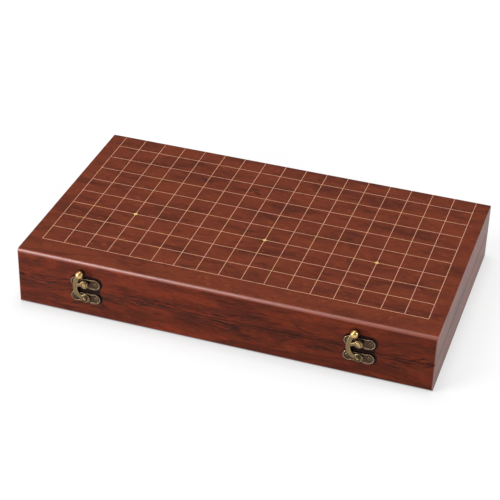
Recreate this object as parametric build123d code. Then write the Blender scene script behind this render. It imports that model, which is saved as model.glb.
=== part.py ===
from build123d import *
from math import asin, cos, degrees, sin
import os

os.makedirs("parts", exist_ok=True)

# A folding go board, closed. Two equal half boxes lie on each other, hinged along the back.
# Origin: the middle of the bottom face. X runs along the front, Y to the hinged back, Z up.
# Each piece of the lower half is drawn once, and the upper half mirrors it in the mid plane.

# Playing grid, in millimetres
column_spacing = 22.0
row_spacing = 23.7
column_count = 18
rows_per_half = 9
line_width = 0.9
line_depth = 0.35
star_width = 3.4
star_row = 4
star_columns = (4, 10, 15)

# Case
side_margin = 14.3
front_margin = 26.0
half_height = 30.0
rim_gap = 0.4
panel_thickness = 6.0
wall = 12.0
edge_radius = 4.2
corner_radius = 1.2
rim_chamfer = 0.3
divider_thickness = 6.0
housing_depth = 2.0
lining_thickness = 1.0
lining_clearance = 0.3

# Butt hinges
hinge_inset = 72.0
hinge_backset = 0.15
knuckle_count = 5
knuckle_length = 9.0
knuckle_gap = 0.2
barrel_radius = 2.2
pin_radius = 0.95
pin_clearance = 0.05
pin_head_radius = 1.6
pin_head_height = 0.6
leaf_thickness = 1.2
leaf_reach = 9.0
barrel_clearance = 0.25
mortise_clearance = 0.05
leaf_screw_inset = 9.0

# Screws
screw_clearance = 0.04
leaf_screw_head_radius = 2.1
leaf_screw_head_height = 1.0
leaf_screw_shank_radius = 1.1
leaf_screw_length = 11.0
plate_screw_head_radius = 1.9
plate_screw_head_height = 0.5
plate_screw_shank_radius = 0.9
plate_screw_length = 8.0

# Swing latches, measured on the front face from the parting line and the latch's own middle
latch_inset = 69.1
stud_rise = 8.6
pivot_drop = 7.4
lobe_radius = 5.3
lobe_offset = 9.3
waist_height = 9.2
waist_fillet = 2.5
plate_floor = 1.0
plate_rim_height = 0.5
plate_rim_width = 0.9
screw_offset = 10.3
lip_offset = 7.2
lip_length = 5.4
lip_width = 1.8
boss_radius = 3.2
running_gap = 0.05
arm_lift = 0.15
arm_thickness = 1.6
arm_width = 4.2
arm_edge_chamfer = 0.45
eye_radius = 4.4
arm_reach = 9.9
knob_offset = 4.5
knob_rise = 25.8
knob_radius = 3.8
knob_centre_lift = 1.9
hook_radius = 3.6
spur_width = 3.2
rivet_radius = 1.5
rivet_head_radius = 3.4
rivet_head_height = 1.7
rivet_ring_height = 0.9
rivet_ring_width = 0.9
rivet_ring_chamfer = 0.3
rivet_depth = 3.5
neck_radius = 1.7
neck_clearance = 0.15
collar_radius = 2.9
stud_head_radius = 4.0
stud_head_height = 2.4
stud_head_gap = 0.2
stud_tail_radius = 1.2
stud_tail_depth = 2.5
hole_clearance = 0.03

# Worked out from the sizes above
case_length = (column_count - 1) * column_spacing + 2 * side_margin
case_depth = rows_per_half * row_spacing + front_margin
front_y = -case_depth / 2
back_y = case_depth / 2
rim_z = half_height - rim_gap / 2
inner_length = case_length - 2 * wall
inner_depth = case_depth - 2 * wall
first_column_x = -(column_count - 1) * column_spacing / 2
first_row_y = front_y + front_margin
mid_plane = Plane.XY.offset(half_height)

hinge_y = back_y + hinge_backset
hinge_x = case_length / 2 - hinge_inset
barrel_length = knuckle_count * knuckle_length + (knuckle_count - 1) * knuckle_gap
leaf_front_y = back_y - leaf_reach
leaf_back_y = hinge_y - barrel_radius - barrel_clearance
leaf_screw_y = (leaf_front_y + leaf_back_y) / 2

latch_x = case_length / 2 - latch_inset
plate_top = plate_floor + plate_rim_height
arm_bottom = plate_top + arm_lift
arm_top = arm_bottom + arm_thickness
boss_height = arm_bottom - running_gap
throw = stud_rise + pivot_drop


def box_between(low, high):
    size = [b - a for a, b in zip(low, high)]
    centre = [(a + b) / 2 for a, b in zip(low, high)]
    return Pos(*centre) * Box(*size)


def upper(shape):
    return mirror(shape, about=mid_plane)


def column_x(column):
    return first_column_x + (column - 1) * column_spacing


def row_y(row):
    return first_row_y + (row - 1) * row_spacing


# Playing panel: its long edges are bullnosed and its ends cut square. The engraved lines run off
# the back edge, which is the fold of the open board.
def grid_sketch():
    grid_length = (column_count - 1) * column_spacing + line_width
    column_length = case_depth - front_margin + line_width
    columns = [
        Pos(column_x(i), first_row_y - line_width / 2 + column_length / 2) * Rectangle(line_width, column_length)
        for i in range(1, column_count + 1)
    ]
    rows = [Pos(0, row_y(j)) * Rectangle(grid_length, line_width) for j in range(1, rows_per_half + 1)]
    stars = [Pos(column_x(i), row_y(star_row)) * Rot(0, 0, 45) * Rectangle(star_width, star_width) for i in star_columns]
    return Sketch() + columns + rows + stars


def panel():
    profile = Rectangle(case_depth, panel_thickness, align=(Align.CENTER, Align.MIN))
    profile = fillet(profile.vertices().group_by(Axis.Y)[0], edge_radius)
    body = extrude(Plane.YZ * profile, case_length / 2, both=True)
    body &= extrude(RectangleRounded(case_length, case_depth, corner_radius), panel_thickness)
    return body - extrude(grid_sketch(), line_depth)


# Rail frame: mitred at the corners, with a fine chamfer along the parting line
def rail_ring():
    outline = RectangleRounded(case_length, case_depth, corner_radius) - Rectangle(inner_length, inner_depth)
    ring = Pos(0, 0, panel_thickness) * extrude(outline, rim_z - panel_thickness)
    outer = ring.faces().sort_by(Axis.Z)[-1].outer_wire().edges()
    return chamfer(outer, rim_chamfer)


def mitre_wedge(length, depth):
    half_length = length / 2
    half_depth = depth / 2
    wedge = Polyline(
        (-half_length, -half_depth),
        (half_length, -half_depth),
        (half_length - wall, -half_depth + wall),
        (-half_length + wall, -half_depth + wall),
        close=True,
    )
    return extrude(make_face(wedge), half_height)


# The divider's ends stand in housings cut into the front and back rails
def divider():
    depth = inner_depth + 2 * housing_depth
    height = rim_z - panel_thickness
    return Pos(0, 0, panel_thickness + height / 2) * Box(divider_thickness, depth, height)


def plain_rails():
    ring = rail_ring() - divider()
    long_wedge = mitre_wedge(case_length, case_depth)
    side_wedge = Rot(0, 0, -90) * mitre_wedge(case_depth, case_length)
    return {
        "front_rail": ring & long_wedge,
        "back_rail": ring & (Rot(0, 0, 180) * long_wedge),
        "left_rail": ring & side_wedge,
        "right_rail": ring & (Rot(0, 0, 180) * side_wedge),
    }


def lining():
    low_x = divider_thickness / 2 + lining_clearance
    high_x = inner_length / 2 - lining_clearance
    reach_y = inner_depth / 2 - lining_clearance
    top_z = panel_thickness + lining_thickness
    return box_between((low_x, -reach_y, panel_thickness), (high_x, reach_y, top_z))


# The outline of a round dome, from its rim to the axis, on a sphere about that axis
def dome_arc(rim_radius, low, high):
    rise = high - low
    sphere_radius = (rim_radius**2 + rise**2) / (2 * rise)
    half_angle = asin(rim_radius / sphere_radius) / 2
    middle = (sphere_radius * sin(half_angle), high - sphere_radius * (1 - cos(half_angle)))
    return ThreePointArc((rim_radius, low), middle, (0, high))


# Countersunk screw of the hinge leaves, its head flush with z = 0; grown by a clearance, it is its own hole
def leaf_screw(growth=0):
    head = leaf_screw_head_radius + growth
    shank = leaf_screw_shank_radius + growth
    end = -leaf_screw_length - growth
    profile = Polyline((0, 0), (0, end), (shank, end), (shank, -leaf_screw_head_height), (head, 0), close=True)
    return revolve(make_face(Plane.XZ * profile), Axis.Z)


# Round-headed screw of the latch plates, its head standing on z = 0
def plate_screw():
    outer = Polyline(
        (0, plate_screw_head_height),
        (0, -plate_screw_length),
        (plate_screw_shank_radius, -plate_screw_length),
        (plate_screw_shank_radius, 0),
        (plate_screw_head_radius, 0),
    )
    profile = outer + dome_arc(plate_screw_head_radius, 0, plate_screw_head_height)
    return revolve(make_face(Plane.XZ * profile), Axis.Z)


def plate_screw_hole():
    radius = plate_screw_shank_radius + screw_clearance
    depth = plate_screw_length + screw_clearance
    return Pos(0, 0, -depth / 2) * Cylinder(radius, depth)


# Butt hinge: the knuckles alternate between the leaves, round a pin on the back edge
def knuckle_centre(index):
    return (index - (knuckle_count - 1) / 2) * (knuckle_length + knuckle_gap)


def leaf_screw_places():
    reach = barrel_length / 2 - leaf_screw_inset
    return [Pos(x, leaf_screw_y, rim_z) for x in (-reach, reach)]


def hinge_leaf(first_knuckle):
    leaf = box_between(
        (-barrel_length / 2, leaf_front_y, rim_z - leaf_thickness),
        (barrel_length / 2, leaf_back_y, rim_z),
    )
    for index in range(first_knuckle, knuckle_count, 2):
        centre = knuckle_centre(index)
        leaf += box_between(
            (centre - knuckle_length / 2, leaf_back_y, rim_z - leaf_thickness),
            (centre + knuckle_length / 2, hinge_y, rim_z),
        )
        leaf += Pos(centre, hinge_y, half_height) * Rot(0, 90, 0) * Cylinder(barrel_radius, knuckle_length)
    leaf -= Pos(0, hinge_y, half_height) * Rot(0, 90, 0) * Cylinder(pin_radius + pin_clearance, barrel_length)
    for place in leaf_screw_places():
        leaf -= place * leaf_screw(screw_clearance)
    return leaf


def hinge_pin():
    pin = Cylinder(pin_radius, barrel_length)
    for side in (-1, 1):
        pin += Pos(0, 0, side * (barrel_length + pin_head_height) / 2) * Cylinder(pin_head_radius, pin_head_height)
    return Pos(0, hinge_y, half_height) * Rot(0, 90, 0) * pin


def hinge_mortise():
    half_width = barrel_length / 2 + mortise_clearance
    seat = box_between(
        (-half_width, leaf_front_y - mortise_clearance, rim_z - leaf_thickness),
        (half_width, hinge_y, half_height),
    )
    barrel_room = barrel_length + 2 * (pin_head_height + barrel_clearance)
    groove = Rot(0, 90, 0) * Cylinder(barrel_radius + barrel_clearance, barrel_room)
    cut = seat + Pos(0, hinge_y, half_height) * groove
    for place in leaf_screw_places():
        cut += place * leaf_screw(screw_clearance)
    return cut


# Swing latch, drawn flat: x to the right, y up, z out of the front face
def latch_face(side):
    return Plane(origin=(side * latch_x, front_y, half_height), x_dir=(1, 0, 0), z_dir=(0, -1, 0))


def plate_outline():
    lobes = [Pos(side * lobe_offset, 0) * Circle(lobe_radius) for side in (-1, 1)]
    outline = Rectangle(2 * lobe_offset, waist_height) + lobes
    notches = [v for v in outline.vertices() if abs(v.X) < lobe_offset]
    return fillet(notches, waist_fillet)


def latch_plate(centre_hole, boss):
    outline = plate_outline()
    plate = extrude(outline, plate_top)
    plate -= Pos(0, 0, plate_floor) * extrude(offset(outline, -plate_rim_width), plate_rim_height)
    lip = SlotOverall(lip_length, lip_width)
    plate += Pos(lip_offset, -waist_height / 2 - lip_width * 0.1) * extrude(lip, plate_top)
    for side in (-1, 1):
        plate -= Pos(side * screw_offset, 0, plate_floor) * plate_screw_hole()
    if boss:
        plate += Cylinder(boss_radius, boss_height, align=(Align.CENTER, Align.CENTER, Align.MIN))
    hole = Cylinder(centre_hole + hole_clearance, 4 * plate_top)
    return plate - hole


def pivot_rivet():
    seat = arm_top + running_gap
    ring_top = seat + rivet_ring_height
    ring_radius = rivet_head_radius - rivet_ring_width
    outer = Polyline(
        (0, seat + rivet_head_height),
        (0, -rivet_depth),
        (rivet_radius, -rivet_depth),
        (rivet_radius, seat),
        (rivet_head_radius, seat),
        (rivet_head_radius, ring_top - rivet_ring_chamfer),
        (rivet_head_radius - rivet_ring_chamfer, ring_top),
        (ring_radius, ring_top - rivet_ring_chamfer),
    )
    profile = outer + dome_arc(ring_radius, ring_top - rivet_ring_chamfer, seat + rivet_head_height)
    return revolve(make_face(Plane.XZ * profile), Axis.Z)


def stud():
    seat = arm_top + stud_head_gap
    edge = seat + stud_head_height * 0.45
    top = seat + stud_head_height
    outer = Polyline(
        (0, top),
        (0, -stud_tail_depth),
        (stud_tail_radius, -stud_tail_depth),
        (stud_tail_radius, plate_floor),
        (collar_radius, plate_floor),
        (collar_radius, boss_height),
        (neck_radius, boss_height),
        (neck_radius, seat),
        (stud_head_radius, seat),
        (stud_head_radius, edge),
    )
    profile = outer + dome_arc(stud_head_radius, edge, top)
    return revolve(make_face(Plane.XZ * profile), Axis.Z)


def latch_arm():
    pivot = (0, -pivot_drop)
    belly = (-arm_reach, -pivot_drop + arm_reach)
    knob = (-knob_offset, -pivot_drop + knob_rise)
    lower_arc = TangentArc(pivot, belly, tangent=(-1, 0))
    upper_arc = TangentArc(belly, knob, tangent=(0, 1))
    band = make_face(offset(Wire([lower_arc, upper_arc]), arm_width / 2, side=Side.BOTH))
    eye = Pos(*pivot) * Circle(eye_radius)
    hook = Pos(0, stud_rise) * Circle(hook_radius)
    spur_root = (-arm_reach * 0.9, -pivot_drop + arm_reach * 1.25)
    spur = make_face(offset(Wire([Line(spur_root, (0, stud_rise))]), spur_width / 2, side=Side.BOTH))
    flat = band + eye + hook + spur
    # The slot follows a circle about the pivot, so the neck leaves it as the arm swings
    slot_radius = neck_radius + neck_clearance
    exit_ring = Pos(*pivot) * (Circle(throw + slot_radius) - Circle(throw - slot_radius))
    exit_side = Pos(lobe_radius, stud_rise) * Rectangle(2 * lobe_radius, 4 * hook_radius)
    slot = (exit_ring & exit_side) + Pos(0, stud_rise) * Circle(slot_radius)
    arm = Pos(0, 0, arm_bottom) * extrude(flat - slot, arm_thickness)
    arm = chamfer(arm.faces().sort_by(Axis.Z)[-1].edges(), arm_edge_chamfer)
    arm -= Pos(*pivot) * Cylinder(rivet_radius + running_gap, 4 * arm_top)
    # The knob is a ball cut flat at the arm's underside
    cut_latitude = degrees(asin(knob_centre_lift / knob_radius))
    ball = Sphere(knob_radius, arc_size1=-cut_latitude, align=(Align.CENTER, Align.CENTER, Align.MIN))
    return arm + Pos(*knob, arm_bottom) * ball


def latch_holes(tail_radius, tail_depth):
    depth = tail_depth + screw_clearance
    hole = Pos(0, 0, -depth / 2) * Cylinder(tail_radius + hole_clearance, depth)
    for side in (-1, 1):
        hole += Pos(side * screw_offset, 0, plate_floor) * plate_screw_hole()
    return hole


def screw_pair(height):
    return [Pos(side * screw_offset, height, plate_floor) * plate_screw() for side in (-1, 1)]


def save(name, shape):
    export_step(shape, "parts/" + name + ".step")


def build():
    lower = {"panel": panel(), "divider": divider()}
    lower.update(plain_rails())
    upper_half = {name: upper(shape) for name, shape in lower.items()}

    mortise = hinge_mortise()
    pivot_holes = latch_holes(rivet_radius, rivet_depth)
    stud_holes = latch_holes(stud_tail_radius, stud_tail_depth)
    hinge_screws = []
    for side, hand in ((-1, "left"), (1, "right")):
        at_hinge = Pos(side * hinge_x, 0, 0)
        lower["back_rail"] -= at_hinge * mortise
        upper_half["back_rail"] -= at_hinge * upper(mortise)
        save("hinge_" + hand + "_lower_leaf", at_hinge * hinge_leaf(0))
        save("hinge_" + hand + "_upper_leaf", at_hinge * upper(hinge_leaf(1)))
        save("hinge_" + hand + "_pin", at_hinge * hinge_pin())
        hinge_screws += [at_hinge * place * leaf_screw() for place in leaf_screw_places()]

        face = latch_face(side)
        lower["front_rail"] -= face * Pos(0, -pivot_drop) * pivot_holes
        upper_half["front_rail"] -= face * Pos(0, stud_rise) * stud_holes
        name = "latch_" + hand
        save(name + "_lower_plate", face * Pos(0, -pivot_drop) * latch_plate(rivet_radius, True))
        save(name + "_upper_plate", face * Pos(0, stud_rise) * latch_plate(stud_tail_radius, False))
        save(name + "_pivot_rivet", face * Pos(0, -pivot_drop) * pivot_rivet())
        save(name + "_stud", face * Pos(0, stud_rise) * stud())
        save(name + "_arm", face * latch_arm())
        save(name + "_lower_screws", Compound([face * screw for screw in screw_pair(-pivot_drop)]))
        save(name + "_upper_screws", Compound([face * screw for screw in screw_pair(stud_rise)]))

        tray_lining = lining()
        if side < 0:
            tray_lining = mirror(tray_lining, about=Plane.YZ)
        lower[hand + "_lining"] = tray_lining
        upper_half[hand + "_lining"] = upper(tray_lining)

    save("hinge_lower_screws", Compound(hinge_screws))
    save("hinge_upper_screws", Compound([upper(screw) for screw in hinge_screws]))
    for name, shape in lower.items():
        save("lower_" + name, shape)
    for name, shape in upper_half.items():
        save("upper_" + name, shape)


build()
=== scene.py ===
import math
from functools import partial

import bmesh
import bpy
from mathutils import Matrix, Vector, noise


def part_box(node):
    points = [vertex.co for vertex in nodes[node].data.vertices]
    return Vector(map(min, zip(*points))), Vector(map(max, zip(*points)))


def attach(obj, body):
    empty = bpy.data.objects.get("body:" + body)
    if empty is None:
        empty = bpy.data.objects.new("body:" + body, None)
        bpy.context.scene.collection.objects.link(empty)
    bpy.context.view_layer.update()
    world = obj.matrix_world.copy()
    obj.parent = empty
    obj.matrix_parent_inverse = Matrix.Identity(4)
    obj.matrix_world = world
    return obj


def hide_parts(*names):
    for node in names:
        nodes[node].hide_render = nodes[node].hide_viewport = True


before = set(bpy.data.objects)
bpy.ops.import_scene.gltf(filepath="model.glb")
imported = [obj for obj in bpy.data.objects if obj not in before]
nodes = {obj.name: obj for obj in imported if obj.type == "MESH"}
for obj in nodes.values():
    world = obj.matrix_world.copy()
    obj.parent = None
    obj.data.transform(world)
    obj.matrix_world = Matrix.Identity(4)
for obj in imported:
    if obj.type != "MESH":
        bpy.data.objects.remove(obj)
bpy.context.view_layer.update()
print("stage: frame loaded,", len(nodes), "nodes")

mm = 0.001
white = (1, 1, 1, 1)
openSamples = 8  # rays that measure how open a hollow is
lidBody = "lid"
baseBody = "base"
panelLow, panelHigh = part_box("upper_panel")
baseLow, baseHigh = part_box("lower_panel")
partingZ = (panelHigh.z + baseLow.z) / 2


def linear(hexColour):  # sRGB hex to the linear values that shaders take
    parts = [int(hexColour[i:i + 2], 16) / 255 for i in (1, 3, 5)]
    return (*[c / 12.92 if c <= 0.04045 else ((c + 0.055) / 1.055) ** 2.4 for c in parts], 1)


def addNode(tree, kind, inputs=(), **settings):  # inputs by name or in order: a value, a socket or a node
    node = tree.nodes.new(kind)
    for key, value in settings.items():
        setattr(node, key, value)
    given = inputs if isinstance(inputs, dict) else dict(enumerate(inputs))
    for key, value in given.items():
        for source in value if isinstance(value, list) else [value]:
            if isinstance(source, bpy.types.Node):
                source = next(socket for socket in source.outputs if socket.enabled)
            if isinstance(source, bpy.types.NodeSocket):
                tree.links.new(source, node.inputs[key])
            else:
                node.inputs[key].default_value = source
    return node


def setRamp(node, stops):
    ramp = node.color_ramp
    while len(ramp.elements) < len(stops):
        ramp.elements.new(0.5)
    for element, (place, colour) in zip(ramp.elements, stops):
        element.position = place
        element.color = linear(colour)


def newMaterial(name):
    material = bpy.data.materials.new(name)
    material.use_nodes = True
    material.node_tree.nodes.clear()
    return material, material.node_tree


def newObject(name, mesh):
    piece = bpy.data.objects.new(name, mesh)
    bpy.context.scene.collection.objects.link(piece)
    return piece


def settle(piece):  # what the modifiers make becomes a plain mesh
    depsgraph = bpy.context.evaluated_depsgraph_get()
    mesh = bpy.data.meshes.new_from_object(piece.evaluated_get(depsgraph))
    piece.modifiers.clear()
    piece.data = mesh
    return piece


# Rosewood veneer under satin lacquer. The ground is a warm red brown with soft mottling, small orange
# flames and smudges of short dark pores. Long black streaks gather along the middle of the side faces.
# The lacquer is rubbed to a gloss only on the rounded edges.
rosewoodLook = {
    "ground": [(0.34, "#5E281A"), (0.5, "#76341F"), (0.68, "#7D3821")],
    "flame": "#984B2A",
    "sideFlame": "#96301F",
    "smudge": "#401C12",
    "ink": "#180A03",
    # The paler, redder rounded edges are a painted highlight
    "paintedEdgeHighlight": "#A04C38",
    "edgeHighlightShare": 0.7,
    "rounding": (0.02, 0.14),
    "sideTint": "#FFEFE6",
    "turned": 0.7,
    "levelling": (0.5, 0.85),
    "endLeaf": 0.9,
    "underLeaf": 0.5,
    "wander": 11 * mm,
    "sideFleck": (0.3, 0.7, 0.76, 1.22),
    "topFleck": (0.3, 0.7, 0.95, 1.05),
    "sideSmudge": 0.75,
    "topSmudge": 0.8,
    "sideStreak": 0.92,
    "topStreak": 0.05,
    "streakBand": 13 * mm,
    "bandShares": (0.16, -0.03),
    "streakRange": (0.5, 0.62),
    "poreShare": 0.45,
    "poreDepth": 0.05 * mm,
    "poreBump": 0.2,
    "roughness": 0.48,
    "specular": 0.12,
    "flatCoat": 0.02,
    "endCoat": 0.28,
    "edgeCoat": 1.0,
    "clearOfPartingShade": 0.3,
    "coatRoughness": 0.32,
    "coatIor": 1.8,
    # Painted shade darkens the upright faces along the parting line
    "stain": 0.75,
    "partingShadeFull": 0.35 * mm,
    "partingShadeReach": 0.6 * mm,
    "partingShadeSteepness": 0.95,
    # Painted shade in hollows and corners, by how open they are
    "paintedShadeReach": 4.5 * mm,
    "paintedShadeRange": (0.45, 0.9, 0.92, 0.0),
    # A painted shadow to the right of and above each latch plate, and between the plates
    "paintedShadowFull": 0.9 * mm,
    "paintedShadowReach": 1.9 * mm,
    "paintedShadowShift": 1.0 * mm,
    "paintedShadowInset": 2.5 * mm,
    "paintedShadowDepth": 1.0 * mm,
    "paintedShadowTop": 0.96,
    "paintedShadowFacing": -0.6,
}

# The layers of the veneer's figure. Grain is a mark's length and width in millimetres, noise its detail,
# roughness, distortion and shift, and range the two ends of the noise that count, then what they give.
# Real pores are 0.2 mm wide, and they are drawn three times as wide so that they show.
figureLayers = {
    "bend": {"grain": (95, 38), "noise": (2, 0.5, 0.5, 4.0)},
    "cloud": {"grain": (60, 17), "noise": (4, 0.55, 0.5, 3.0)},
    "mottle": {"grain": (9, 5), "noise": (3, 0.6, 0.4, 6.0), "range": (0.3, 0.7, 0.9, 1.1)},
    "fibre": {"grain": (16, 0.9), "noise": (3, 0.6, 0.2, 5.0), "range": (0.3, 0.7, 0.93, 1.07)},
    "flame": {"grain": (13, 6), "noise": (5, 0.7, 2.0, 8.0), "range": (0.55, 0.67, 0.0, 0.75)},
    "sideCloud": {"grain": (75, 13), "noise": (4, 0.6, 0.8, 12.0), "range": (0.38, 0.6, 0.58, 1.04)},
    "fleck": {"grain": (9, 1.3), "noise": (3, 0.6, 0.4, 13.0)},
    "smudgeArea": {"grain": (30, 13), "noise": (4, 0.6, 0.9, 9.0), "range": (0.53, 0.68)},
    "dashes": {"grain": (7, 1.1), "noise": (4, 0.65, 0.6, 2.0), "range": (0.46, 0.6, 0.25, 1.0)},
    "streakArea": {"grain": (60, 10), "noise": (4, 0.65, 1.0, 1.0)},
    "lines": {"grain": (20, 1.25), "noise": (4, 0.66, 1.2, 7.0), "range": (0.47, 0.57)},
    "pores": {"grain": (4.5, 0.6), "noise": (2, 0.5, 0.0, 11.0), "range": (0.6, 0.72)},
}


def grainNoise(tree, place, length, width, detail, roughness, distortion, shift):
    mapping = addNode(tree, "ShaderNodeMapping", {
        "Vector": place, "Location": (shift, 2.3 * shift, 1.7 * shift),
        "Scale": (1 / length, 1 / width, 1 / width)})
    return addNode(tree, "ShaderNodeTexNoise", {
        "Vector": mapping, "Scale": 1.0, "Detail": detail, "Roughness": roughness, "Distortion": distortion})


# The areas that the painted shadow falls round
def paintedShadowAreas():  # round each plate, and between the two plates of a latch
    areas = []
    for hand in ("left", "right"):
        lower, upper = [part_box(f"latch_{hand}_{half}_plate") for half in ("lower", "upper")]
        inset = Vector((rosewoodLook["paintedShadowInset"], 0, (lower[1].z - lower[0].z) / 2))
        areas += [lower, upper, (lower[0] + inset, upper[1] - inset)]
    return areas


def makeRosewood():
    look = rosewoodLook
    material, tree = newMaterial("lacqueredRosewoodVeneer")
    add = partial(addNode, tree)

    def figure(layer, place):
        recipe = figureLayers[layer]
        length, width = recipe["grain"]
        marks = grainNoise(tree, place, length * mm, width * mm, *recipe["noise"])
        return add("ShaderNodeMapRange", [marks, *recipe["range"]]) if "range" in recipe else marks

    source = add("ShaderNodeTexCoord").outputs
    x, y, z = add("ShaderNodeSeparateXYZ", [source["Object"]]).outputs
    facing = add("ShaderNodeSeparateXYZ", [source["Normal"]]).outputs
    steepX, steepY, steepZ = [add("ShaderNodeMath", [part], operation="ABSOLUTE") for part in facing]
    # The veneer's grain runs along each face, and its figure passes over the rounded edges unbroken
    onEnd = add("ShaderNodeMath", [steepX, look["turned"]], operation="GREATER_THAN")
    notEnd = add("ShaderNodeMath", [1.0, onEnd], operation="SUBTRACT")
    below = add("ShaderNodeMath", [facing[2], -look["turned"]], operation="LESS_THAN")
    level = add("ShaderNodeMapRange", [steepZ, *look["levelling"]])
    endY = add("ShaderNodeMath", [y, onEnd], operation="MULTIPLY")
    along = add("ShaderNodeMath", [x, notEnd, endY], operation="MULTIPLY_ADD")
    endX = add("ShaderNodeMath", [x, onEnd], operation="MULTIPLY")
    flatAcross = add("ShaderNodeMath", [y, notEnd, endX], operation="MULTIPLY_ADD")
    across = add("ShaderNodeMath", [z, flatAcross], operation="ADD")
    underLeaf = add("ShaderNodeMath", [below, look["underLeaf"]], operation="MULTIPLY")
    leaf = add("ShaderNodeMath", [onEnd, look["endLeaf"], underLeaf], operation="MULTIPLY_ADD")
    straight = add("ShaderNodeCombineXYZ", [along, across, leaf])
    bend = add("ShaderNodeMath", [figure("bend", straight), 0.5], operation="SUBTRACT")
    bentAcross = add("ShaderNodeMath", [bend, 2 * look["wander"], across], operation="MULTIPLY_ADD")
    grain = add("ShaderNodeCombineXYZ", [along, bentAcross, leaf])

    ground = add("ShaderNodeValToRGB", [figure("cloud", grain)])
    setRamp(ground, look["ground"])
    texture = add("ShaderNodeMath", [figure("mottle", grain), figure("fibre", grain)], operation="MULTIPLY")
    wood = add("ShaderNodeMix", {0: 1.0, 6: ground, 7: texture}, data_type="RGBA", blend_type="MULTIPLY")
    flameColour = add("ShaderNodeMix", {
        0: level, 6: linear(look["sideFlame"]), 7: linear(look["flame"])}, data_type="RGBA")
    wood = add("ShaderNodeMix", {0: figure("flame", grain), 6: wood, 7: flameColour}, data_type="RGBA")
    # The veneer on the sides has darker clouds and a coarser fleck than that on the faces
    fleck = figure("fleck", grain)
    sideFleck = add("ShaderNodeMapRange", [fleck, *look["sideFleck"]])
    topFleck = add("ShaderNodeMapRange", [fleck, *look["topFleck"]])
    sideTone = add("ShaderNodeMath", [figure("sideCloud", grain), sideFleck], operation="MULTIPLY")
    tone = add("ShaderNodeMix", {0: level, 2: sideTone, 3: topFleck})
    wood = add("ShaderNodeMix", {0: 1.0, 6: wood, 7: tone}, data_type="RGBA", blend_type="MULTIPLY")
    tint = add("ShaderNodeMix", {0: level, 6: linear(look["sideTint"]), 7: white}, data_type="RGBA")
    wood = add("ShaderNodeMix", {0: 1.0, 6: wood, 7: tint}, data_type="RGBA", blend_type="MULTIPLY")

    mostSmudge = add("ShaderNodeMapRange", [level, 0.0, 1.0, look["sideSmudge"], look["topSmudge"]])
    smudgeArea = add("ShaderNodeMath", [figure("smudgeArea", grain), mostSmudge], operation="MULTIPLY")
    smudges = add("ShaderNodeMath", [smudgeArea, figure("dashes", grain)], operation="MULTIPLY")
    wood = add("ShaderNodeMix", {0: smudges, 6: wood, 7: linear(look["smudge"])}, data_type="RGBA")

    aboveMiddle = add("ShaderNodeMath", [z, partingZ], operation="SUBTRACT")
    toMiddle = add("ShaderNodeMath", [aboveMiddle], operation="ABSOLUTE")
    band = add("ShaderNodeMapRange", [toMiddle, 0.0, look["streakBand"], *look["bandShares"]])
    gathered = add("ShaderNodeMath", [figure("streakArea", grain), band], operation="ADD")
    streakArea = add("ShaderNodeMapRange", [gathered, *look["streakRange"]])
    mostStreak = add("ShaderNodeMapRange", [level, 0.0, 1.0, look["sideStreak"], look["topStreak"]])
    streakShare = add("ShaderNodeMath", [streakArea, mostStreak], operation="MULTIPLY")
    streaks = add("ShaderNodeMath", [streakShare, figure("lines", grain)], operation="MULTIPLY")
    wood = add("ShaderNodeMix", {0: streaks, 6: wood, 7: linear(look["ink"])}, data_type="RGBA")
    pores = figure("pores", grain)
    poreShare = add("ShaderNodeMath", [pores, look["poreShare"]], operation="MULTIPLY")
    wood = add("ShaderNodeMix", {0: poreShare, 6: wood, 7: linear(look["smudge"])}, data_type="RGBA")

    # The rounded edges are painted paler and redder, a painted highlight
    steepSide = add("ShaderNodeMath", [steepY, steepZ], operation="MAXIMUM")
    steepest = add("ShaderNodeMath", [steepX, steepSide], operation="MAXIMUM")
    slant = add("ShaderNodeMath", [1.0, steepest], operation="SUBTRACT")
    rounded = add("ShaderNodeMapRange", [slant, *look["rounding"]])
    edgeHighlightShare = add("ShaderNodeMath", [rounded, look["edgeHighlightShare"]], operation="MULTIPLY")
    wood = add("ShaderNodeMix", {0: edgeHighlightShare, 6: wood, 7: linear(look["paintedEdgeHighlight"])}, data_type="RGBA")

    # Painted shade darkens the upright faces along the parting line and the hollows and corners, and a
    # painted shadow falls to the right of and above the latch plates and between them
    seam = add("ShaderNodeMapRange", [toMiddle, look["partingShadeFull"], look["partingShadeReach"], look["stain"], 0.0])
    upright = add("ShaderNodeMath", [steepZ, look["partingShadeSteepness"]], operation="LESS_THAN")
    stain = add("ShaderNodeMath", [seam, upright], operation="MULTIPLY")
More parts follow.
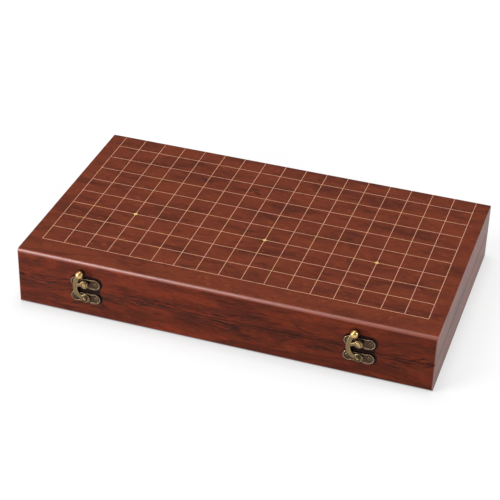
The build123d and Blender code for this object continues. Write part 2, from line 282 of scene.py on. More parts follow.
    # Painted shade darkens the wood in hollows and corners
    hollow = add("ShaderNodeAmbientOcclusion", {"Distance": look["paintedShadeReach"]}, samples=openSamples)
    paintedShade = add("ShaderNodeMapRange", [hollow.outputs["AO"], *look["paintedShadeRange"]])
    paintedShadow = 0.0
    for low, high in paintedShadowAreas():
        middle = (low + high) / 2
        halfHeight = (high.z - low.z) / 2
        flank = (high.x - low.x) / 2 - halfHeight
        fromX = add("ShaderNodeMath", [x, middle.x + look["paintedShadowShift"]], operation="SUBTRACT")
        sideways = add("ShaderNodeMath", [fromX], operation="ABSOLUTE")
        pastFlank = add("ShaderNodeMath", [sideways, flank], operation="SUBTRACT")
        beyond = add("ShaderNodeMath", [pastFlank, 0.0], operation="MAXIMUM")
        fromZ = add("ShaderNodeMath", [z, middle.z + look["paintedShadowShift"]], operation="SUBTRACT")
        offset = add("ShaderNodeCombineXYZ", [beyond, fromZ, 0.0])
        away = add("ShaderNodeVectorMath", [offset], operation="LENGTH")
        shadowHalo = add("ShaderNodeMapRange", [
            away, halfHeight + look["paintedShadowFull"], halfHeight + look["paintedShadowReach"], look["paintedShadowTop"], 0.0])
        paintedShadow = add("ShaderNodeMath", [paintedShadow, shadowHalo], operation="MAXIMUM")
    forward = add("ShaderNodeMath", [facing[1], look["paintedShadowFacing"]], operation="LESS_THAN")
    outermost = add("ShaderNodeMath", [y, baseLow.y + look["paintedShadowDepth"]], operation="LESS_THAN")
    onFront = add("ShaderNodeMath", [forward, outermost], operation="MULTIPLY")
    frontPaintedShadow = add("ShaderNodeMath", [paintedShadow, onFront], operation="MULTIPLY")
    partingOrPaintedShade = add("ShaderNodeMath", [stain, paintedShade], operation="MAXIMUM")
    paintedShadeAndShadow = add("ShaderNodeMath", [partingOrPaintedShade, frontPaintedShadow], operation="MAXIMUM")
    wood = add("ShaderNodeMix", {0: paintedShadeAndShadow, 6: wood, 7: linear(look["ink"])}, data_type="RGBA")

    flatCoat = add("ShaderNodeMapRange", [onEnd, 0.0, 1.0, look["flatCoat"], look["endCoat"]])
    edgeCoat = add("ShaderNodeMapRange", [stain, 0.0, look["clearOfPartingShade"], look["edgeCoat"], 0.0])
    polished = add("ShaderNodeMath", [rounded, edgeCoat], operation="MULTIPLY")
    coat = add("ShaderNodeMath", [flatCoat, polished], operation="MAXIMUM")
    bump = add("ShaderNodeBump", {
        "Height": pores, "Strength": look["poreBump"], "Distance": look["poreDepth"]}, invert=True)
    surface = add("ShaderNodeBsdfPrincipled", {
        "Base Color": wood, "Roughness": look["roughness"], "Specular IOR Level": look["specular"],
        "Coat Weight": coat, "Coat Roughness": look["coatRoughness"], "Coat IOR": look["coatIor"],
        "Normal": bump})
    add("ShaderNodeOutputMaterial", {"Surface": surface})
    return material


# Antique cast brass: a dark patina fills the hollows, and the more a face stands out from the case, the more
# it is rubbed back to yellow metal. The pale rim tops and edges are partly rubbed metal and partly a painted
# highlight. The latch screws are the same brass, left tarnished. Rise gives the tone at each height above the
# front face, in millimetres.
antiqueLook = {
    "rise": [(0.7, "#0E0B08"), (1.0, "#4A382C"), (1.3, "#544236"), (1.5, "#7A6450"), (1.58, "#B09A80"),
             (1.66, "#1A150F"), (2.4, "#4A3C28"), (2.8, "#B0946A"), (3.1, "#B0966C"), (3.22, "#84704E"),
             (3.6, "#2C241A"), (4.65, "#54442E"), (4.95, "#A4845A"), (5.3, "#AE8E60")],
    "highest": 8.0,
    "unevenness": 0.02,
    "knob": "#D2AE72",
    "knobFade": 1.5 * mm,
    "rubbedAndHighlit": "#DCC09A",
    "rubbingAndHighlight": (0.515, 0.55, 0.0, 0.7),
    "patina": "#18130D",
    "screwTarnish": 0.8,
    "patchSize": 1.6 * mm,
    "patchDetail": 4,
    "patchBump": 0.15,
    "patchDepth": 0.05 * mm,
    "pitSize": 0.25 * mm,
    "pitDetail": 3,
    "noiseRoughness": 0.6,
    "pitBump": 0.25,
    "pitDepth": 0.04 * mm,
    "hollowReach": 1.4 * mm,
    "hollowRange": (0.3, 0.8, 0.9, 0.0),
    "roughness": (0.3, 0.7, 0.26, 0.42),
}


def makeAntiqueBrass(name, tarnish):
    look = antiqueLook
    material, tree = newMaterial(name)
    add = partial(addNode, tree)
    place = add("ShaderNodeTexCoord").outputs["Object"]
    patch = add("ShaderNodeTexNoise", {
        "Vector": place, "Scale": 1 / look["patchSize"], "Detail": look["patchDetail"],
        "Roughness": look["noiseRoughness"]})
    pits = add("ShaderNodeTexNoise", {
        "Vector": place, "Scale": 1 / look["pitSize"], "Detail": look["pitDetail"],
        "Roughness": look["noiseRoughness"]})
    y, z = add("ShaderNodeSeparateXYZ", [place]).outputs[1:]
    rise = add("ShaderNodeMapRange", [y, baseLow.y, baseLow.y - look["highest"] * mm])
    patchy = add("ShaderNodeMath", [patch, look["unevenness"], rise], operation="MULTIPLY_ADD")
    level = add("ShaderNodeMath", [patchy, look["unevenness"] / 2], operation="SUBTRACT")
    tone = add("ShaderNodeValToRGB", [level])
    setRamp(tone, [(height / look["highest"], colour) for height, colour in look["rise"]])
    # The knobs stand above the plates, where fingers keep them bright
    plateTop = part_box("latch_left_upper_plate")[1].z
    handled = add("ShaderNodeMapRange", [z, plateTop, plateTop + look["knobFade"]])
    bright = add("ShaderNodeMix", {0: handled, 6: tone, 7: linear(look["knob"])}, data_type="RGBA")
    base = add("ShaderNodeMix", {0: tarnish, 6: bright, 7: linear(look["patina"])}, data_type="RGBA")
    # Convex edges are painted pale: partly rubbed metal, partly a painted highlight
    edge = add("ShaderNodeNewGeometry").outputs["Pointiness"]
    rubbedAndHighlit = add("ShaderNodeMapRange", [edge, *look["rubbingAndHighlight"]])
    metal = add("ShaderNodeMix", {0: rubbedAndHighlit, 6: base, 7: linear(look["rubbedAndHighlit"])}, data_type="RGBA")
    hollow = add("ShaderNodeAmbientOcclusion", {"Distance": look["hollowReach"]}, samples=openSamples)
    dark = add("ShaderNodeMapRange", [hollow.outputs["AO"], *look["hollowRange"]])
    colour = add("ShaderNodeMix", {0: dark, 6: metal, 7: linear(look["patina"])}, data_type="RGBA")
    roughness = add("ShaderNodeMapRange", [patch, *look["roughness"]])
    dents = add("ShaderNodeBump", {
        "Height": patch, "Strength": look["patchBump"], "Distance": look["patchDepth"]})
    bump = add("ShaderNodeBump", {
        "Height": pits, "Strength": look["pitBump"], "Distance": look["pitDepth"], "Normal": dents})
    surface = add("ShaderNodeBsdfPrincipled", {
        "Base Color": colour, "Metallic": 1.0, "Roughness": roughness, "Normal": bump})
    add("ShaderNodeOutputMaterial", {"Surface": surface})
    return material


# Rolled hinge brass: satin, with rolling lines along the knuckles, drawn 0.15 mm wide so that they show
hingeLook = {
    "bright": "#C8A25C",
    "dull": "#9C7B42",
    "lineLength": 12 * mm,
    "lineWidth": 0.15 * mm,
    "lineDepth": 0.02 * mm,
    "lineBump": 0.15,
    "lineNoise": (2, 0.5, 0.0, 1.0),
    "roughness": (0.3, 0.7, 0.26, 0.4),
}


def makeHingeBrass():
    look = hingeLook
    material, tree = newMaterial("rolledHingeBrass")
    add = partial(addNode, tree)
    place = add("ShaderNodeTexCoord").outputs["Object"]
    lines = grainNoise(tree, place, look["lineLength"], look["lineWidth"], *look["lineNoise"])
    colour = add("ShaderNodeMix", {
        0: lines, 6: linear(look["bright"]), 7: linear(look["dull"])}, data_type="RGBA")
    roughness = add("ShaderNodeMapRange", [lines, *look["roughness"]])
    bump = add("ShaderNodeBump", {
        "Height": lines, "Strength": look["lineBump"], "Distance": look["lineDepth"]})
    surface = add("ShaderNodeBsdfPrincipled", {
        "Base Color": colour, "Metallic": 1.0, "Roughness": roughness, "Normal": bump})
    add("ShaderNodeOutputMaterial", {"Surface": surface})
    return material


# Gold line paint: bronze powder in lacquer, slightly uneven along the line
goldLook = {
    "goldLinePaint": {"rich": "#FFC28C", "worn": "#FFB6A0"},
    "goldStarPaint": {"rich": "#FFDC8C", "worn": "#F6CC78"},
    "unevenness": 14 * mm,
    "noiseDetail": 5,
    "noiseRoughness": 0.7,
    "wear": (0.4, 0.6),
    "metallic": 0.1,
    "roughness": 0.45,
}


def makeGoldPaint(name):
    look = goldLook
    material, tree = newMaterial(name)
    add = partial(addNode, tree)
    place = add("ShaderNodeTexCoord").outputs["Object"]
    uneven = add("ShaderNodeTexNoise", {
        "Vector": place, "Scale": 1 / look["unevenness"], "Detail": look["noiseDetail"],
        "Roughness": look["noiseRoughness"]})
    wear = add("ShaderNodeMapRange", [uneven, *look["wear"]])
    colour = add("ShaderNodeMix", {
        0: wear, 6: linear(look[name]["rich"]), 7: linear(look[name]["worn"])}, data_type="RGBA")
    surface = add("ShaderNodeBsdfPrincipled", {
        "Base Color": colour, "Metallic": look["metallic"], "Roughness": look["roughness"]})
    add("ShaderNodeOutputMaterial", {"Surface": surface})
    return material


# Flocked cotton lining: near black, with a short nap that is a little lighter at a flat angle. The
# fibres are 0.02 mm thick, and tufts of them are drawn, which show.
feltLook = {
    "nap": "#1B1B1F",
    "shade": "#0F0F12",
    "tuft": 0.35 * mm,
    "noiseDetail": 3,
    "noiseRoughness": 0.7,
    "napDepth": 0.15 * mm,
    "napBump": 0.6,
    "roughness": 0.95,
    "specular": 0.2,
    "sheen": 0.15,
    "sheenRoughness": 0.5,
}


def makeFelt():
    look = feltLook
    material, tree = newMaterial("flockedLining")
    add = partial(addNode, tree)
    place = add("ShaderNodeTexCoord").outputs["Object"]
    nap = add("ShaderNodeTexNoise", {
        "Vector": place, "Scale": 1 / look["tuft"], "Detail": look["noiseDetail"],
        "Roughness": look["noiseRoughness"]})
    colour = add("ShaderNodeMix", {
        0: nap, 6: linear(look["nap"]), 7: linear(look["shade"])}, data_type="RGBA")
    bump = add("ShaderNodeBump", {"Height": nap, "Strength": look["napBump"], "Distance": look["napDepth"]})
    surface = add("ShaderNodeBsdfPrincipled", {
        "Base Color": colour, "Roughness": look["roughness"], "Sheen Weight": look["sheen"],
        "Sheen Roughness": look["sheenRoughness"], "Specular IOR Level": look["specular"], "Normal": bump})
    add("ShaderNodeOutputMaterial", {"Surface": surface})
    return material


rosewood = makeRosewood()
antiqueBrass = makeAntiqueBrass("antiqueCastBrass", 0.0)
tarnishedBrass = makeAntiqueBrass("tarnishedScrewBrass", antiqueLook["screwTarnish"])
hingeBrass = makeHingeBrass()
goldPaint = makeGoldPaint("goldLinePaint")
starPaint = makeGoldPaint("goldStarPaint")
felt = makeFelt()


def finishOf(name):
    if name.endswith("lining"):
        return felt, "lining_felt"
    if name.startswith("hinge"):
        return hingeBrass, "hinge_brass"
    if name.startswith("latch"):
        return antiqueBrass, "antique_brass"
    return rosewood, "rosewood"


for name, node in nodes.items():
    node.data.materials.clear()
    node.data.materials.append(finishOf(name)[0])
print("stage: finishes")


# Smoothly shaded copies of the wood and the hinges: the CAD's rounded edges come as flat strips
smoothBelow = math.cos(math.radians(35))
isFlat = 0.9995
weldReach = 0.001 * mm


def mergedMesh(name, member, scale=1.0):
    mesh = bpy.data.meshes.new(name)
    bm = bmesh.new()
    bm.from_mesh(nodes[member].data)
    bmesh.ops.remove_doubles(bm, verts=bm.verts, dist=weldReach)
    bmesh.ops.scale(bm, vec=(scale, scale, scale), verts=bm.verts)
    bm.to_mesh(mesh)
    bm.free()
    return mesh


def smoothNormals(mesh):  # flat faces stay flat, and the rounded ones between them run smoothly into them
    mesh.shade_smooth()
    around = [[] for vert in mesh.vertices]
    for face in mesh.polygons:
        for index in face.vertices:
            around[index].append(face.normal)
    normals = []
    for face in mesh.polygons:
        for index in face.vertices:
            near = {tuple(round(part, 3) for part in other): other
                    for other in around[index] if other.dot(face.normal) > smoothBelow}
            level = [other for other in near.values() if max(map(abs, other)) > isFlat]
            if max(map(abs, face.normal)) > isFlat:
                normals.append(face.normal)
            elif level:
                normals.append(max(level, key=face.normal.dot))
            else:
                normals.append(sum(near.values(), Vector()).normalized())
    mesh.normals_split_custom_set([tuple(normal) for normal in normals])


def smoothCopy(member, body):
    finish, slot = finishOf(member)
    words = member.split("_")
    name = words[0] + "".join(word.capitalize() for word in words[1:])
    piece = newObject(name, mergedMesh(name, member))
    smoothNormals(piece.data)
    piece.data.materials.append(finish)
    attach(piece, body)
    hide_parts(member)


for half, body in (("lower", baseBody), ("upper", lidBody)):
    for part in ("panel", "front_rail", "back_rail", "left_rail", "right_rail"):
        smoothCopy(f"{half}_{part}", body)
    for hand in ("left", "right"):
        smoothCopy(f"hinge_{hand}_{half}_leaf", body)
for hand in ("left", "right"):
    smoothCopy(f"hinge_{hand}_pin", baseBody)
print("stage: case and hinges")


# Geometry Nodes: a tree with named inputs, run on a mesh and settled into a plain one
def makeTree(name, inputs):
    tree = bpy.data.node_groups.new(name, "GeometryNodeTree")
    tree.interface.new_socket("Geometry", in_out="INPUT", socket_type="NodeSocketGeometry")
    for label, kind in inputs:
        tree.interface.new_socket(label, in_out="INPUT", socket_type="NodeSocket" + kind)
    tree.interface.new_socket("Geometry", in_out="OUTPUT", socket_type="NodeSocketGeometry")
    return tree, tree.nodes.new("NodeGroupInput")


def runTree(tree, piece, values):
    modifier = piece.modifiers.new(tree.name, "NODES")
    modifier.node_group = tree
    for socket in tree.interface.items_tree:
        if socket.in_out == "INPUT" and socket.name in values:
            modifier[socket.identifier] = values[socket.name]
    return settle(piece)


# Gold playing lines, laid in the grooves of each panel, with a diamond at each star point
lineSet = {
    "columns": 18,
    "rows": 9,
    "sideMargin": 14.3 * mm,
    "frontMargin": 26.0 * mm,
    "width": 0.5 * mm,
    "height": 0.31 * mm,
    "sunk": 0.03 * mm,
    "starSize": 3.3 * mm,
    "starRise": 0.02 * mm,
    "starRow": 4,
    "starColumns": (4, 10, 15),
    "edgeRadius": 4.2 * mm,
    "edgeRun": 1.5 * mm,
    "edgeSteps": 6,
}


def playingLinesTree():
    tree, given = makeTree("playingLines", [
        ("Columns", "Int"), ("Rows", "Int"), ("Column Spacing", "Float"), ("Row Spacing", "Float"),
        ("Line Width", "Float"), ("Line Height", "Float"), ("Star Size", "Float"), ("Star Row", "Int"),
        ("First Star", "Int"), ("Middle Star", "Int"), ("Last Star", "Int"), ("Edge Start", "Float"),
        ("Edge Radius", "Float"), ("Edge Run", "Float"), ("Edge Steps", "Int"), ("Star Rise", "Float"),
        ("Finish", "Material"), ("Star Finish", "Material")])
    add = partial(addNode, tree)
    value = {socket.name: socket for socket in given.outputs}
    lowered = add("ShaderNodeMath", [value["Line Height"], -0.5], operation="MULTIPLY")

    def bar(sizeX, sizeY, middleX, middleY, steps=2):
        size = add("ShaderNodeCombineXYZ", [sizeX, sizeY, value["Line Height"]])
        cube = add("GeometryNodeMeshCube", {"Size": size, "Vertices Y": steps})
        middle = add("ShaderNodeCombineXYZ", [middleX, middleY, lowered])
        return add("GeometryNodeTransform", {"Geometry": cube, "Translation": middle})

    def repeated(shape, count, offset, start=(0, 0, 0), chosen=True):
        line = add("GeometryNodeMeshLine", {
            "Count": count, "Start Location": start, "Offset": offset}, mode="OFFSET")
        return add("GeometryNodeInstanceOnPoints", {"Points": line, "Selection": chosen, "Instance": shape})

    halfWidth = add("ShaderNodeMath", [value["Line Width"], 0.5], operation="MULTIPLY")
    cells = add("ShaderNodeMath", [value["Columns"], 1.0], operation="SUBTRACT")
    gridLength = add("ShaderNodeMath", [cells, value["Column Spacing"]], operation="MULTIPLY")
    columnLength = add("ShaderNodeMath", [value["Edge Start"], halfWidth], operation="ADD")
    columnRest = add("ShaderNodeMath", [value["Edge Start"], halfWidth], operation="SUBTRACT")
    columnMiddle = add("ShaderNodeMath", [columnRest, 0.5], operation="MULTIPLY")
    endMiddle = add("ShaderNodeMath", [value["Edge Run"], 0.5, value["Edge Start"]], operation="MULTIPLY_ADD")
    rowLength = add("ShaderNodeMath", [gridLength, value["Line Width"]], operation="ADD")
    rowMiddle = add("ShaderNodeMath", [gridLength, 0.5], operation="MULTIPLY")
    across = add("ShaderNodeCombineXYZ", [value["Column Spacing"], 0.0, 0.0])
    along = add("ShaderNodeCombineXYZ", [0.0, value["Row Spacing"], 0.0])
    column = bar(value["Line Width"], columnLength, 0.0, columnMiddle)
    columnEnd = bar(value["Line Width"], value["Edge Run"], 0.0, endMiddle, value["Edge Steps"])
    row = bar(rowLength, value["Line Width"], rowMiddle, 0.0)
    parts = [
        repeated(column, value["Columns"], across),
        repeated(columnEnd, value["Columns"], across),
        repeated(row, value["Rows"], along),
    ]
    solid = [add("GeometryNodeRealizeInstances", {"Geometry": part}) for part in parts]
    fused = add("GeometryNodeMeshBoolean", {
        "Mesh 2": solid, "Self Intersection": True}, operation="UNION", solver="EXACT")
    # Past the start of the rounded edge the line follows it down
    position = add("GeometryNodeInputPosition")
    y = add("ShaderNodeSeparateXYZ", [position]).outputs["Y"]
    toEdge = add("ShaderNodeMath", [y, value["Edge Start"]], operation="SUBTRACT")
    past = add("ShaderNodeMath", [toEdge, 0.0], operation="MAXIMUM")
    pastSquare = add("ShaderNodeMath", [past, 2.0], operation="POWER")
    radiusSquare = add("ShaderNodeMath", [value["Edge Radius"], 2.0], operation="POWER")
    levelSquare = add("ShaderNodeMath", [radiusSquare, pastSquare], operation="SUBTRACT")
    level = add("ShaderNodeMath", [levelSquare], operation="SQRT")
    drop = add("ShaderNodeMath", [level, value["Edge Radius"]], operation="SUBTRACT")
    offset = add("ShaderNodeCombineXYZ", [0.0, 0.0, drop])
    dropped = add("GeometryNodeSetPosition", {"Geometry": fused, "Offset": offset})
    flatLines = add("GeometryNodeRealizeInstances", {"Geometry": dropped})
    painted = add("GeometryNodeSetMaterial", {"Geometry": flatLines, "Material": value["Finish"]})

    diamond = add("GeometryNodeTransform", {
        "Geometry": bar(value["Star Size"], value["Star Size"], 0.0, 0.0), "Rotation": (0, 0, math.pi / 4)})
    index = add("GeometryNodeInputIndex")
    starred = False
    for label in ("First Star", "Middle Star", "Last Star"):
        counted = add("ShaderNodeMath", [value[label], 1.0], operation="SUBTRACT")
        here = add("FunctionNodeCompare", [index, counted], data_type="FLOAT", operation="EQUAL")
        starred = add("FunctionNodeBooleanMath", [starred, here], operation="OR")
    rowsBefore = add("ShaderNodeMath", [value["Star Row"], 1.0], operation="SUBTRACT")
    starY = add("ShaderNodeMath", [rowsBefore, value["Row Spacing"]], operation="MULTIPLY")
    starStart = add("ShaderNodeCombineXYZ", [0.0, starY, value["Star Rise"]])
    stars = repeated(diamond, value["Columns"], across, starStart, starred)
    flatStars = add("GeometryNodeRealizeInstances", {"Geometry": stars})
    gilded = add("GeometryNodeSetMaterial", {"Geometry": flatStars, "Material": value["Star Finish"]})
    joined = add("GeometryNodeJoinGeometry", {0: [painted, gilded]})
    add("NodeGroupOutput", [joined])
    return tree


def layLines(tree, name, body, low, high, downward):
    look = lineSet
    firstX = low.x + look["sideMargin"]
    firstY = low.y + look["frontMargin"]
    first, middle, last = look["starColumns"]
    piece = runTree(tree, newObject(name, bpy.data.meshes.new(name)), {
        "Columns": look["columns"],
        "Rows": look["rows"],
        "Column Spacing": (high.x - low.x - 2 * look["sideMargin"]) / (look["columns"] - 1),
        "Row Spacing": (high.y - firstY) / look["rows"],
        "Line Width": look["width"],
        "Line Height": look["height"],
        "Star Size": look["starSize"],
        "Star Rise": look["starRise"],
        "Star Row": look["starRow"],
        "First Star": first,
        "Middle Star": middle,
        "Last Star": last,
        "Edge Start": high.y - look["edgeRadius"] - firstY,
        "Edge Radius": look["edgeRadius"],
        "Edge Run": look["edgeRun"],
        "Edge Steps": look["edgeSteps"],
        "Finish": goldPaint,
        "Star Finish": starPaint,
    })
    if downward:
        piece.data.transform(Matrix.Scale(-1, 4, Vector((0, 0, 1))))
        piece.data.flip_normals()
    top = low.z + look["sunk"] if downward else high.z - look["sunk"]
    piece.data.transform(Matrix.Translation((firstX, firstY, top)))
    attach(piece, body)
    print("   ", name, len(piece.data.polygons), "faces")


linesTree = playingLinesTree()
layLines(linesTree, "upperPlayingLines", lidBody, panelLow, panelHigh, False)
layLines(linesTree, "lowerPlayingLines", baseBody, baseLow, baseHigh, True)
print("stage: playing lines")


# Screws with a cross recess, one for each solid of the CAD's screw groups
def solidBoxes(nodeName):
    bm = bmesh.new()
    bm.from_mesh(nodes[nodeName].data)
    bmesh.ops.remove_doubles(bm, verts=bm.verts, dist=weldReach)
    seen = set()
    boxes = []
    for start in bm.verts:
        if start in seen:
            continue
        seen.add(start)
        reached = [start]
        for vert in reached:
            for edge in vert.link_edges:
                other = edge.other_vert(vert)
                if other not in seen:
                    seen.add(other)
                    reached.append(other)
        low = Vector([min(vert.co[i] for vert in reached) for i in range(3)])
        high = Vector([max(vert.co[i] for vert in reached) for i in range(3)])
        boxes.append((low, high))
    bm.free()
    return sorted(boxes, key=lambda box: box[0].x)  # from left to right, so each screw keeps its own spin


screwShapes = {
    "countersunk": {"Head Radius": 2.1 * mm, "Head Rise": 0.06 * mm, "Head Depth": 1.0 * mm,
                    "Shank Radius": 1.1 * mm, "Length": 11.0 * mm, "Cross Reach": 1.45 * mm,
                    "Cross Width": 0.5 * mm, "Cross Depth": 0.75 * mm},
    "roundHead": {"Head Radius": 1.86 * mm, "Head Rise": 0.48 * mm, "Head Depth": 0.05 * mm,
                  "Shank Radius": 0.88 * mm, "Length": 7.9 * mm, "Cross Reach": 1.2 * mm,
                  "Cross Width": 0.42 * mm, "Cross Depth": 0.3 * mm},
}


screwSegments = 32
screwTurns = {"up": (0, 0, 0), "down": (math.pi, 0, 0), "front": (math.pi / 2, 0, 0)}


def screwTree():
    lengths = list(screwShapes["countersunk"])
    tree, given = makeTree("crossScrews", [(label, "Float") for label in lengths] + [
        ("Facing", "Rotation"), ("Seed", "Int"), ("Finish", "Material")])
    add = partial(addNode, tree)
    value = {socket.name: socket for socket in given.outputs}
    headScale = add("ShaderNodeCombineXYZ", [value["Head Radius"], value["Head Radius"], value["Head Rise"]])
    ball = add("GeometryNodeMeshUVSphere", {
        "Segments": screwSegments, "Rings": screwSegments // 2, "Radius": 1.0})
    dome = add("GeometryNodeTransform", {"Geometry": ball, "Scale": headScale})
    neckZ = add("ShaderNodeMath", [value["Head Depth"], -1.0], operation="MULTIPLY")
    neckPlace = add("ShaderNodeCombineXYZ", [0.0, 0.0, neckZ])
    cone = add("GeometryNodeMeshCone", {
        "Vertices": screwSegments, "Radius Top": value["Head Radius"],
        "Radius Bottom": value["Shank Radius"], "Depth": value["Head Depth"]})
    neck = add("GeometryNodeTransform", {"Geometry": cone, "Translation": neckPlace})
    shankZ = add("ShaderNodeMath", [value["Length"], -0.5], operation="MULTIPLY")
    shankPlace = add("ShaderNodeCombineXYZ", [0.0, 0.0, shankZ])
    rod = add("GeometryNodeMeshCylinder", {
        "Vertices": screwSegments, "Radius": value["Shank Radius"], "Depth": value["Length"]})
    shank = add("GeometryNodeTransform", {"Geometry": rod, "Translation": shankPlace})
    screw = add("GeometryNodeMeshBoolean", {"Mesh 2": [dome, neck, shank]}, operation="UNION", solver="EXACT")
    reach = add("ShaderNodeMath", [value["Cross Reach"], 2.0], operation="MULTIPLY")
    depth = add("ShaderNodeMath", [value["Cross Depth"], 2.0], operation="MULTIPLY")
    headTop = add("ShaderNodeCombineXYZ", [0.0, 0.0, value["Head Rise"]])
    slots = []
    for sizeX, sizeY in ((reach, value["Cross Width"]), (value["Cross Width"], reach)):
        size = add("ShaderNodeCombineXYZ", [sizeX, sizeY, depth])
        bar = add("GeometryNodeMeshCube", {"Size": size})
        slots.append(add("GeometryNodeTransform", {"Geometry": bar, "Translation": headTop}))
    cut = add("GeometryNodeMeshBoolean", {
        "Mesh 1": screw, "Mesh 2": slots}, operation="DIFFERENCE", solver="EXACT")
    spin = add("FunctionNodeRandomValue", {
        "Min": (0, 0, 0), "Max": (0, 0, math.pi), "Seed": value["Seed"]}, data_type="FLOAT_VECTOR")
    placed = add("GeometryNodeInstanceOnPoints", {
        "Points": value["Geometry"], "Instance": cut, "Rotation": value["Facing"]})
    turned = add("GeometryNodeRotateInstances", {
        "Instances": placed, "Rotation": spin, "Local Space": True})
    flat = add("GeometryNodeRealizeInstances", {"Geometry": turned})
    finished = add("GeometryNodeSetMaterial", {"Geometry": flat, "Material": value["Finish"]})
    add("NodeGroupOutput", [finished])
    return tree


def driveScrews(tree, name, body, groups, shape, facing, finish, seed):
    points = []
    for group in groups:
        for low, high in solidBoxes(group):
            middle = (low + high) / 2
            seats = {"up": (middle.x, middle.y, high.z), "down": (middle.x, middle.y, low.z),
                     "front": (middle.x, low.y + shape["Head Rise"], middle.z)}
            points.append(seats[facing])
    mesh = bpy.data.meshes.new(name)
    mesh.from_pydata(points, [], [])
    piece = runTree(tree, newObject(name, mesh), {
        **shape, "Facing": screwTurns[facing], "Seed": seed, "Finish": finish})
    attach(piece, body)
    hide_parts(*groups)
    print("   ", name, len(points), "screws,", len(piece.data.polygons), "faces")


screws = screwTree()
driveScrews(screws, "lowerHingeScrews", baseBody, ["hinge_lower_screws"], screwShapes["countersunk"], "up",
            hingeBrass, 1)
driveScrews(screws, "upperHingeScrews", lidBody, ["hinge_upper_screws"], screwShapes["countersunk"], "down",
            hingeBrass, 2)
driveScrews(screws, "lowerLatchScrews", baseBody, ["latch_left_lower_screws", "latch_right_lower_screws"],
            screwShapes["roundHead"], "front", tarnishedBrass, 3)
driveScrews(screws, "upperLatchScrews", lidBody, ["latch_left_upper_screws", "latch_right_upper_screws"],
            screwShapes["roundHead"], "front", tarnishedBrass, 4)
print("stage: screws")


# Latch castings: the CAD's solids with the edges softened as a mould leaves them
casting = {
    "grain": 0.14,
    "rounds": 4,
    "softening": 0.5,
    "studRise": 3.6 * mm,
    "studTop": 5.3 * mm,
    "studGroove": {"radius": 2.5 * mm, "width": 1.2 * mm, "depth": 0.8 * mm},
}


def dent(mesh, shape, lowestRise):  # a turned groove, round the middle of what stands out furthest
    front = [vert for vert in mesh.vertices if baseLow.y - vert.co.y > lowestRise]
    middleX = (min(vert.co.x for vert in front) + max(vert.co.x for vert in front)) / 2
    middleZ = (min(vert.co.z for vert in front) + max(vert.co.z for vert in front)) / 2
    for vert in front:
        fromMiddle = math.hypot(vert.co.x - middleX, vert.co.z - middleZ)
        share = max(0.0, 1 - abs(fromMiddle - shape["radius"]) / (shape["width"] / 2))
        vert.co.y += shape["depth"] * share * share * (3 - 2 * share)


def castCopy(name, member, body):
    piece = newObject(name, mergedMesh(name, member, 1 / mm))  # in millimetres, as the grain is
    remesh = piece.modifiers.new("mould", "REMESH")
    remesh.mode = "VOXEL"
    remesh.voxel_size = casting["grain"]
    remesh.use_smooth_shade = True
    soften = piece.modifiers.new("soften", "SMOOTH")
    soften.factor = casting["softening"]
    soften.iterations = casting["rounds"]
    settle(piece)
    piece.data.transform(Matrix.Scale(mm, 4))
    if name.endswith("Stud"):
        for vert in piece.data.vertices:
            vert.co.y = max(vert.co.y, baseLow.y - casting["studTop"])
        dent(piece.data, casting["studGroove"], casting["studRise"])
    piece.data.materials.clear()
    piece.data.materials.append(antiqueBrass)
    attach(piece, body)
    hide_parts(member)
    print("   ", name, len(piece.data.polygons), "faces")


for hand in ("left", "right"):
    castCopy(hand + "LatchArm", f"latch_{hand}_arm", hand + "_latch_arm")
    castCopy(hand + "PivotRivet", f"latch_{hand}_pivot_rivet", baseBody)
    castCopy(hand + "LowerPlate", f"latch_{hand}_lower_plate", baseBody)
    castCopy(hand + "UpperPlate", f"latch_{hand}_upper_plate", lidBody)
    castCopy(hand + "Stud", f"latch_{hand}_stud", lidBody)
print("stage: latches")


# Cloth linings, glued flat into the trays, with a slight unevenness of glue and nap
liningCut = {
    "step": 2.5 * mm,
    "thickness": 0.7 * mm,
    "wave": 0.12 * mm,
    "waveSize": 26 * mm,
    "edgeFall": 0.1 * mm,
    "edgeWidth": 1.2 * mm,
}


def layLining(name, node, body, downward):
    low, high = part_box(node)
    countX = round((high.x - low.x) / liningCut["step"])
    countY = round((high.y - low.y) / liningCut["step"])
    bm = bmesh.new()
    bmesh.ops.create_grid(bm, x_segments=countX, y_segments=countY, size=0.5)
    for vert in bm.verts:
        x = low.x + (vert.co.x + 0.5) * (high.x - low.x)
        y = low.y + (vert.co.y + 0.5) * (high.y - low.y)
        wave = noise.noise(Vector((x, y, low.z)) / liningCut["waveSize"]) * liningCut["wave"]
        toEdge = min(x - low.x, high.x - x, y - low.y, high.y - y)
        fall = liningCut["edgeFall"] * max(0.0, 1 - toEdge / liningCut["edgeWidth"])
        height = liningCut["thickness"] + liningCut["wave"] + wave - fall
        vert.co = (x, y, high.z - height if downward else low.z + height)
    if downward:
        bmesh.ops.reverse_faces(bm, faces=bm.faces)
    mesh = bpy.data.meshes.new(name)
    bm.to_mesh(mesh)
    bm.free()
    piece = newObject(name, mesh)
    thicken = piece.modifiers.new("thicken", "SOLIDIFY")
    thicken.thickness = liningCut["thickness"] - liningCut["edgeFall"]
    thicken.offset = -1
    settle(piece)
    piece.data.shade_smooth()
    piece.data.materials.append(felt)
    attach(piece, body)
    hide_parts(node)


for hand in ("left", "right"):
    layLining(hand + "LowerLining", f"lower_{hand}_lining", baseBody, False)
    layLining(hand + "UpperLining", f"upper_{hand}_lining", lidBody, True)
print("stage: linings")


# Camera, at the photograph's viewing angle
cameraView = {
    "aim": Vector((-10.55, -0.18, 30.0)) * mm,
    "distance": 1524.7 * mm,
    "azimuth": 17.588,
    "elevation": 33.171,
    "roll": 1.714,
    "lens": 112.49,
    "sensor": 36,
}


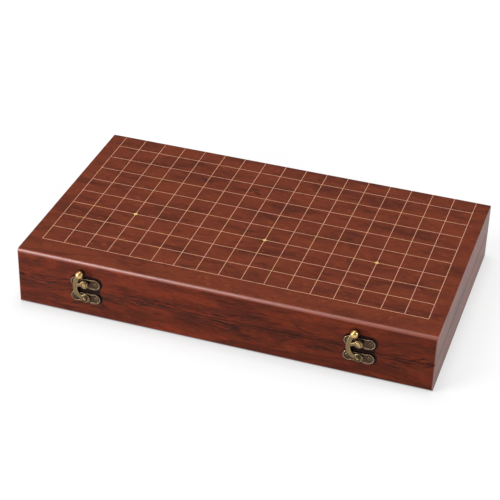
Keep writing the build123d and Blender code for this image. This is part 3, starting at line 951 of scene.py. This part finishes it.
def makeCamera():
    azimuth = math.radians(cameraView["azimuth"])
    elevation = math.radians(cameraView["elevation"])
    outward = math.cos(elevation)
    back = Vector((math.sin(azimuth) * outward, -math.cos(azimuth) * outward, math.sin(elevation)))
    data = bpy.data.cameras.new("photoCamera")
    data.lens = cameraView["lens"]
    data.sensor_width = cameraView["sensor"]
    camera = newObject("photoCamera", data)
    camera.rotation_mode = "QUATERNION"
    roll = Matrix.Rotation(math.radians(cameraView["roll"]), 3, "Z").to_quaternion()
    camera.rotation_quaternion = (-back).to_track_quat("-Z", "Y") @ roll
    camera.location = cameraView["aim"] + back * cameraView["distance"]
    bpy.context.scene.camera = camera


makeCamera()


# Floor, light and background
studio = {
    "floorSize": 12.0,
    "ambient": 0.2,
    "floorGlow": 0.74,
    "floorColour": 0.3,
    "glowFrom": 0.27,
    "glowTo": 0.5,
    "contactReach": 14 * mm,
    "contactShade": 0.7,
    "horizonGlow": 1.0,
    "horizonFrom": 0.02,
    "ceilingGlow": 0.22,
    "ceilingFrom": 0.3,
}
lamps = {
    "frontSoftbox": {"place": (-0.9, -1.0, 1.5), "aim": (0, 0, 0.03), "size": (0.7, 1.1), "power": 19},
    "ceilingSoftbox": {"place": (-0.2, 0.4, 1.75), "aim": (0, 0, 0.03), "size": (0.8, 0.8), "power": 8.5},
    "sideKey": {"place": (-1.1, -0.8, 0.1), "aim": (0, -0.12, 0.03), "size": (0.1, 0.1), "power": 11},
    "rightFill": {"place": (1.25, 0.15, 0.5), "aim": (0, 0, 0.03), "size": (0.5, 0.5), "power": 7},
}


def backdropRays(tree):
    path = addNode(tree, "ShaderNodeLightPath").outputs
    seen = addNode(tree, "ShaderNodeMath", [path["Is Camera Ray"], path["Is Glossy Ray"]], operation="ADD")
    return addNode(tree, "ShaderNodeMath", [
        seen, path["Is Transmission Ray"]], operation="ADD", use_clamp=True)


def makeFloor():
    half = studio["floorSize"] / 2
    corners = [(-half, -half, 0), (half, -half, 0), (half, half, 0), (-half, half, 0)]
    mesh = bpy.data.meshes.new("floor")
    mesh.from_pydata(corners, [], [(0, 1, 2, 3)])
    floor = newObject("floor", mesh)
    material, tree = newMaterial("paleFloor")
    add = partial(addNode, tree)
    # Past the shadow the floor fades to plain white, and where the case stands on it, its glow is darkened by
    # occlusion, a painted contact shadow
    place = add("ShaderNodeTexCoord").outputs["Object"]
    fromCentre = add("ShaderNodeVectorMath", [place], operation="LENGTH")
    openFloor = add("ShaderNodeMapRange", [
        fromCentre, studio["glowFrom"], studio["glowTo"], studio["floorGlow"], 1.0])
    near = add("ShaderNodeAmbientOcclusion", {"Distance": studio["contactReach"]}, samples=openSamples)
    shade = add("ShaderNodeMapRange", [near.outputs["AO"], 0.0, 1.0, studio["contactShade"], 1.0])
    shown = add("ShaderNodeMath", [openFloor, shade], operation="MULTIPLY")
    glow = add("ShaderNodeMath", [backdropRays(tree), shown], operation="MULTIPLY")
    light = add("ShaderNodeEmission", {"Color": white, "Strength": glow})
    matt = add("ShaderNodeBsdfDiffuse", {"Color": (studio["floorColour"],) * 3 + (1,)})
    both = add("ShaderNodeAddShader", [light, matt])
    add("ShaderNodeOutputMaterial", {"Surface": both})
    mesh.materials.append(material)


def makeWorld():
    world = bpy.data.worlds.new("studio")
    bpy.context.scene.world = world
    world.use_nodes = True
    tree = world.node_tree
    tree.nodes.clear()
    add = partial(addNode, tree)
    ambient = add("ShaderNodeBackground", {"Color": white, "Strength": studio["ambient"]})
    direction = add("ShaderNodeTexCoord").outputs["Generated"]
    height = add("ShaderNodeSeparateXYZ", [direction]).outputs["Z"]
    shade = add("ShaderNodeMapRange", [
        height, studio["horizonFrom"], studio["ceilingFrom"], studio["horizonGlow"], studio["ceilingGlow"]])
    backdrop = add("ShaderNodeBackground", {"Color": white, "Strength": shade})
    mixed = add("ShaderNodeMixShader", [backdropRays(tree), ambient, backdrop])
    add("ShaderNodeOutputWorld", {"Surface": mixed})


def makeLamp(name, place, aim, size, power):
    data = bpy.data.lights.new(name, "AREA")
    data.shape = "RECTANGLE"
    data.size, data.size_y = size
    data.energy = power
    lamp = newObject(name, data)
    lamp.location = place
    lamp.rotation_mode = "QUATERNION"
    lamp.rotation_quaternion = (Vector(aim) - Vector(place)).to_track_quat("-Z", "Y")


makeFloor()
makeWorld()
for name, lamp in lamps.items():
    makeLamp(name, **lamp)
bpy.context.scene.view_settings.view_transform = "Standard"
print("stage: camera and studio")
